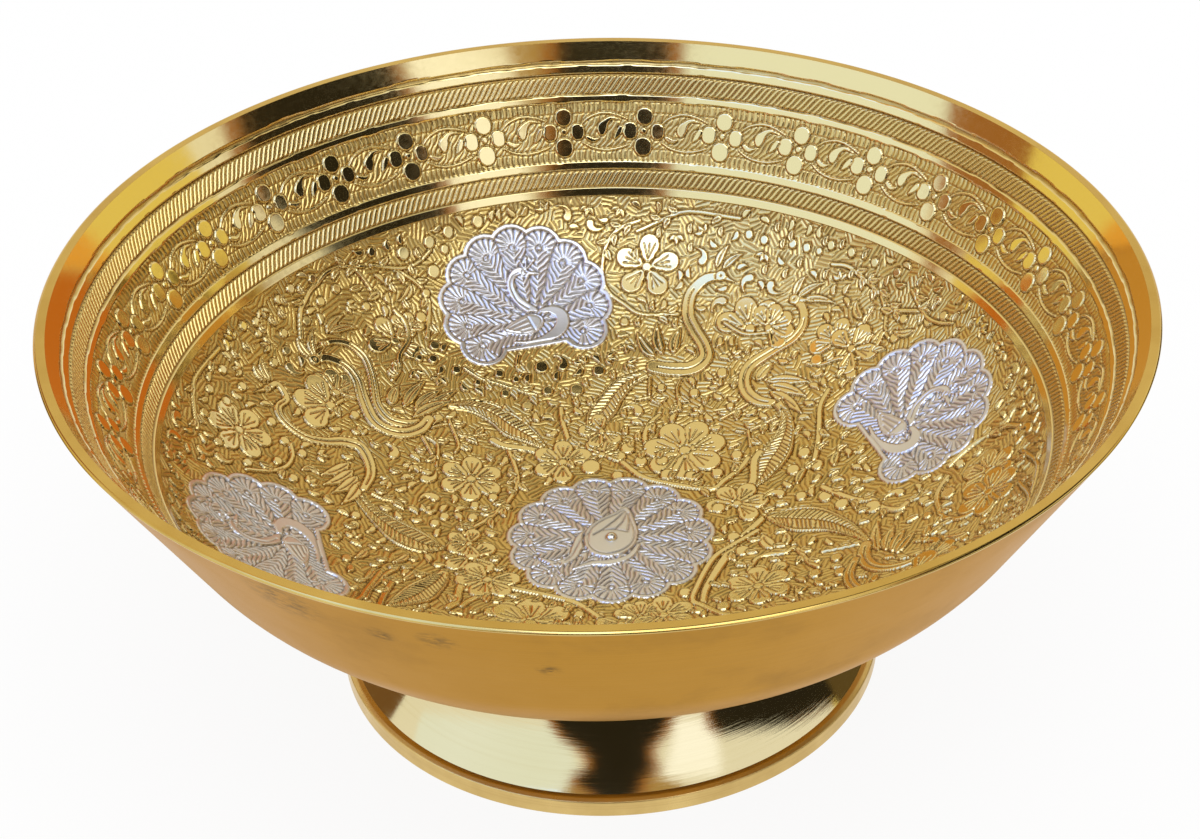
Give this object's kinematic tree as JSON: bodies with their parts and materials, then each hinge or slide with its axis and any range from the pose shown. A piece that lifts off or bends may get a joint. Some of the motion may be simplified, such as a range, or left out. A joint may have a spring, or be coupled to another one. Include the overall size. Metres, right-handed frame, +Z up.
{
  "type": "footed offering bowl",
  "caption": "Round flared metal offering bowl on a hollow foot ring, carved inside with peacock medallions and bands of ornament.",
  "frame": {"origin": "on the table, under the middle of the bowl", "axes": "+Z up along the turning axis; -Y is the side nearest the picture's camera"},
  "size_m": [0.203, 0.203, 0.082],
  "materials": {
    "engraved_brass": "turned and engraved brass, satin outside and bright inside",
    "polished_brass": "mirror-polished turned brass",
    "rivet_metal": "bright white metal",
    "silvered_brass": "silvered, hand-chased"
  },
  "bodies": {
    "root": {"bowl": "engraved_brass", "foot": "polished_brass", "rivet": "rivet_metal", "rivet_washer": "rivet_metal", "centre_medallion": "silvered_brass", "back_medallion": "silvered_brass", "right_medallion": "silvered_brass", "front_medallion": "silvered_brass", "left_medallion": "silvered_brass"}
  },
  "joints": []
}
